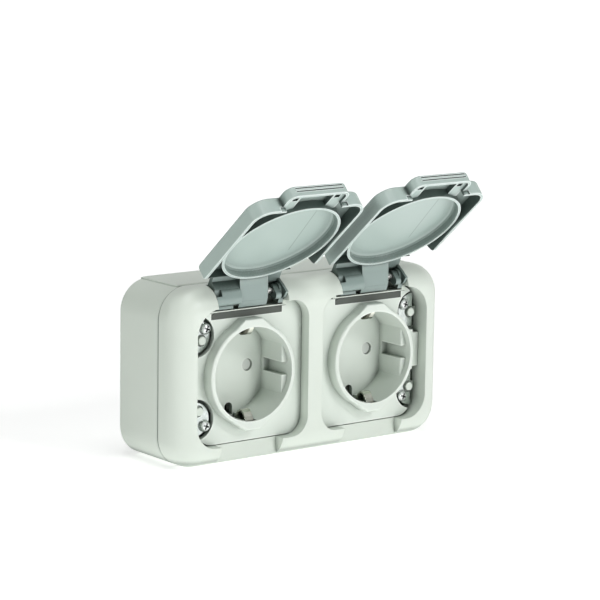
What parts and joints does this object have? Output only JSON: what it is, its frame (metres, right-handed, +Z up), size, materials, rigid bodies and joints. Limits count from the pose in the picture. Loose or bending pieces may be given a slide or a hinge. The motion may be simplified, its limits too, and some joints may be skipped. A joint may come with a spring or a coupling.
{
  "type": "surface-mounted double weatherproof socket",
  "caption": "Wall-mounted splash-proof box with two side-by-side round recessed earthed outlets, each under its own spring-free hinged lid.",
  "frame": {"origin": "on the wall face, midway between the two outlets, at the height of the outlets' centres", "axes": "+X to the right as seen from the front, +Y into the wall, +Z up"},
  "size_m": [0.139, 0.085, 0.1191],
  "materials": {
    "housing_plastic": "fine satin moulding, off-white with a faint green tint",
    "plate_plastic": "satin moulding, off-white",
    "lid_plastic": "satin moulding, blue-grey",
    "seal_rubber": "dark seal",
    "hinge_rubber": "dark grey-brown soft strip",
    "grommet_rubber": "grey soft grommet",
    "zinc_steel": "zinc-plated",
    "pin_steel": "ground pin",
    "spring_steel": "spring wire",
    "nickel_strip": "nickel-plated strip",
    "contact_brass": "bare stamped brass",
    "shutter_plastic": "light moulding",
    "block_plastic": "plain moulding"
  },
  "bodies": {
    "housing": {"base_box": "housing_plastic", "cover_frame": "housing_plastic", "socket_plate": "plate_plastic", "cover_gasket": "seal_rubber", "cover_screws": "zinc_steel", "screw_plates": "zinc_steel", "block_screws": "zinc_steel", "left_cable_grommet": "grommet_rubber", "left_hinge_seal": "hinge_rubber", "left_hinge_pin": "pin_steel", "left_shutter_spring": "spring_steel", "left_contact_block": "block_plastic", "left_line_contact": "contact_brass", "left_neutral_contact": "contact_brass", "left_earth_strap": "nickel_strip", "left_terminal_screws": "zinc_steel", "right_cable_grommet": "grommet_rubber", "right_hinge_seal": "hinge_rubber", "right_hinge_pin": "pin_steel", "right_shutter_spring": "spring_steel", "right_contact_block": "block_plastic", "right_line_contact": "contact_brass", "right_neutral_contact": "contact_brass", "right_earth_strap": "nickel_strip", "right_terminal_screws": "zinc_steel"},
    "left_lid": {"left_lid": "lid_plastic"},
    "right_lid": {"right_lid": "lid_plastic"},
    "left_shutter": {"left_shutter": "shutter_plastic"},
    "right_shutter": {"right_shutter": "shutter_plastic"}
  },
  "joints": [
    {"name": "left_lid_hinge", "type": "hinge", "parent": "housing", "child": "left_lid", "pos_m": [-0.0317, -0.0359, 0.0327], "axis": [1, 0, 0], "range_deg": [0, 130.6]},
    {"name": "left_shutter_turn", "type": "hinge", "parent": "housing", "child": "left_shutter", "pos_m": [-0.0317, -0.0223, 0], "axis": [0, 1, 0], "range_deg": [0, 38], "stiffness_Nm_per_rad": 0.003, "springref_deg": -17.19},
    {"name": "right_lid_hinge", "type": "hinge", "parent": "housing", "child": "right_lid", "pos_m": [0.0317, -0.0359, 0.0327], "axis": [1, 0, 0], "range_deg": [0, 130.6]},
    {"name": "right_shutter_turn", "type": "hinge", "parent": "housing", "child": "right_shutter", "pos_m": [0.0317, -0.0223, 0], "axis": [0, 1, 0], "range_deg": [0, 38], "stiffness_Nm_per_rad": 0.003, "springref_deg": -17.19}
  ]
}
